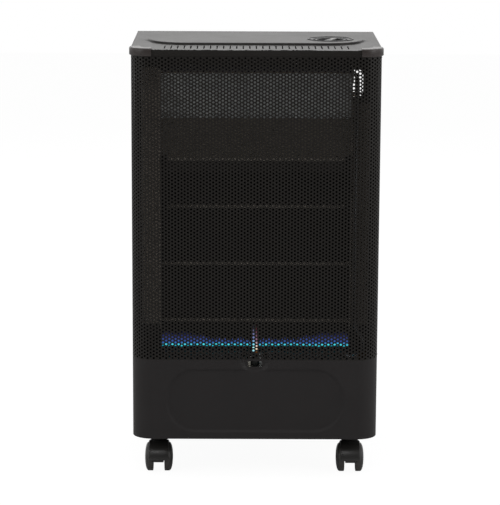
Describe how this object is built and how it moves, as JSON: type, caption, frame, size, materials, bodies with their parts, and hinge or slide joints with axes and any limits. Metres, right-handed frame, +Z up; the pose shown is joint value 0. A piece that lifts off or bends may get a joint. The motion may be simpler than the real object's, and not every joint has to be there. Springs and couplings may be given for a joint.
{
  "type": "portable gas cabinet heater",
  "caption": "Upright portable gas heater on twin-wheel casters, with a perforated wrap-round front, a slotted top with a flush knob, and a bottle bay behind.",
  "frame": {"origin": "on the floor, under the middle of the heater's width and depth", "axes": "+Z up, -Y towards the front (the perforated side), +X to the right as seen from the front"},
  "size_m": [0.426, 0.412, 0.743],
  "materials": {
    "cabinet_black": "black powder coat with a fine matt texture",
    "top_black": "black powder coat, satin, catches the light from above as grey",
    "cap_plastic": "moulded black plastic",
    "knob_plastic": "moulded black plastic with a light indicator mark",
    "caster_plastic": "moulded black nylon",
    "wheel_tread": "moulded black nylon wheel",
    "galvanised": "galvanised sheet with a faint spangle",
    "heat_tinted_steel": "bare steel tinted brown and blue by heat",
    "black_enamel": "matt black stove enamel",
    "stainless": "stainless steel, lightly heat-stained",
    "brass": "machined brass",
    "pipe_aluminium": "drawn aluminium tube",
    "valve_aluminium": "die-cast aluminium",
    "glazed_ceramic": "glazed white ceramic",
    "lead_sleeve": "silicone-sleeved ignition lead"
  },
  "bodies": {
    "cabinet": {"base_tray": "cabinet_black", "front_panel": "cabinet_black", "side_panel_left": "cabinet_black", "side_panel_right": "cabinet_black", "top_cover": "top_black", "corner_cap_left": "cap_plastic", "corner_cap_right": "cap_plastic", "partition_panel": "galvanised", "rear_crossbar": "cabinet_black", "chamber_back_plate": "black_enamel", "chamber_side_left": "galvanised", "chamber_side_right": "galvanised", "chamber_hood": "heat_tinted_steel", "heat_deflector": "galvanised", "burner_tube": "stainless", "burner_bracket_left": "galvanised", "burner_bracket_right": "galvanised", "air_mixer": "galvanised", "gas_injector": "brass", "burner_guard": "galvanised", "pilot_bracket": "stainless", "pilot_burner": "brass", "thermocouple": "stainless", "electrode_ceramic": "glazed_ceramic", "electrode_rod": "stainless", "gas_pipe": "pipe_aluminium", "pilot_pipe": "pipe_aluminium", "thermocouple_lead": "brass", "ignition_lead": "lead_sleeve", "gas_valve": "valve_aluminium", "valve_bracket": "galvanised", "knob_bezel": "cap_plastic", "piezo_igniter": "cap_plastic", "hose_nozzle": "brass", "caster_front_left_stem": "galvanised", "caster_front_right_stem": "galvanised", "caster_rear_left_stem": "galvanised", "caster_rear_right_stem": "galvanised"},
    "rear_cover": {"rear_cover": "cabinet_black"},
    "plunger": {"valve_plunger": "brass"},
    "knob": {"control_knob": "knob_plastic", "valve_spindle": "brass"},
    "front_left_fork": {"caster_front_left_housing": "caster_plastic", "caster_front_left_axle": "stainless"},
    "front_left_wheel_left": {"caster_front_left_wheel_left": "wheel_tread"},
    "front_left_wheel_right": {"caster_front_left_wheel_right": "wheel_tread"},
    "front_right_fork": {"caster_front_right_housing": "caster_plastic", "caster_front_right_axle": "stainless"},
    "front_right_wheel_left": {"caster_front_right_wheel_left": "wheel_tread"},
    "front_right_wheel_right": {"caster_front_right_wheel_right": "wheel_tread"},
    "rear_left_fork": {"caster_rear_left_housing": "caster_plastic", "caster_rear_left_axle": "stainless"},
    "rear_left_wheel_left": {"caster_rear_left_wheel_left": "wheel_tread"},
    "rear_left_wheel_right": {"caster_rear_left_wheel_right": "wheel_tread"},
    "rear_right_fork": {"caster_rear_right_housing": "caster_plastic", "caster_rear_right_axle": "stainless"},
    "rear_right_wheel_left": {"caster_rear_right_wheel_left": "wheel_tread"},
    "rear_right_wheel_right": {"caster_rear_right_wheel_right": "wheel_tread"}
  },
  "joints": [
    {"name": "rear_cover_pull", "type": "slide", "parent": "cabinet", "child": "rear_cover", "axis": [0, 1, 0], "range_m": [0, 0.15]},
    {"name": "knob_push", "type": "slide", "parent": "cabinet", "child": "plunger", "axis": [0, 0, -1], "range_m": [0, 0.005], "stiffness_N_per_m": 1500, "springref_m": -0.004},
    {"name": "knob_turn", "type": "hinge", "parent": "plunger", "child": "knob", "pos_m": [0.1285, -0.046, 0.73], "axis": [0, 0, 1], "range_deg": [-120, 90]},
    {"name": "front_left_swivel", "type": "hinge", "parent": "cabinet", "child": "front_left_fork", "pos_m": [-0.166, -0.139, 0.06], "axis": [0, 0, 1], "continuous": true},
    {"name": "front_left_left_spin", "type": "hinge", "parent": "front_left_fork", "child": "front_left_wheel_left", "pos_m": [-0.166, -0.155, 0.025], "axis": [1, 0, 0], "continuous": true},
    {"name": "front_left_right_spin", "type": "hinge", "parent": "front_left_fork", "child": "front_left_wheel_right", "pos_m": [-0.166, -0.155, 0.025], "axis": [1, 0, 0], "continuous": true},
    {"name": "front_right_swivel", "type": "hinge", "parent": "cabinet", "child": "front_right_fork", "pos_m": [0.166, -0.139, 0.06], "axis": [0, 0, 1], "continuous": true},
    {"name": "front_right_left_spin", "type": "hinge", "parent": "front_right_fork", "child": "front_right_wheel_left", "pos_m": [0.166, -0.155, 0.025], "axis": [1, 0, 0], "continuous": true},
    {"name": "front_right_right_spin", "type": "hinge", "parent": "front_right_fork", "child": "front_right_wheel_right", "pos_m": [0.166, -0.155, 0.025], "axis": [1, 0, 0], "continuous": true},
    {"name": "rear_left_swivel", "type": "hinge", "parent": "cabinet", "child": "rear_left_fork", "pos_m": [-0.146, 0.14, 0.06], "axis": [0, 0, 1], "continuous": true},
    {"name": "rear_left_left_spin", "type": "hinge", "parent": "rear_left_fork", "child": "rear_left_wheel_left", "pos_m": [-0.146, 0.124, 0.025], "axis": [1, 0, 0], "continuous": true},
    {"name": "rear_left_right_spin", "type": "hinge", "parent": "rear_left_fork", "child": "rear_left_wheel_right", "pos_m": [-0.146, 0.124, 0.025], "axis": [1, 0, 0], "continuous": true},
    {"name": "rear_right_swivel", "type": "hinge", "parent": "cabinet", "child": "rear_right_fork", "pos_m": [0.146, 0.14, 0.06], "axis": [0, 0, 1], "continuous": true},
    {"name": "rear_right_left_spin", "type": "hinge", "parent": "rear_right_fork", "child": "rear_right_wheel_left", "pos_m": [0.146, 0.124, 0.025], "axis": [1, 0, 0], "continuous": true},
    {"name": "rear_right_right_spin", "type": "hinge", "parent": "rear_right_fork", "child": "rear_right_wheel_right", "pos_m": [0.146, 0.124, 0.025], "axis": [1, 0, 0], "continuous": true}
  ]
}
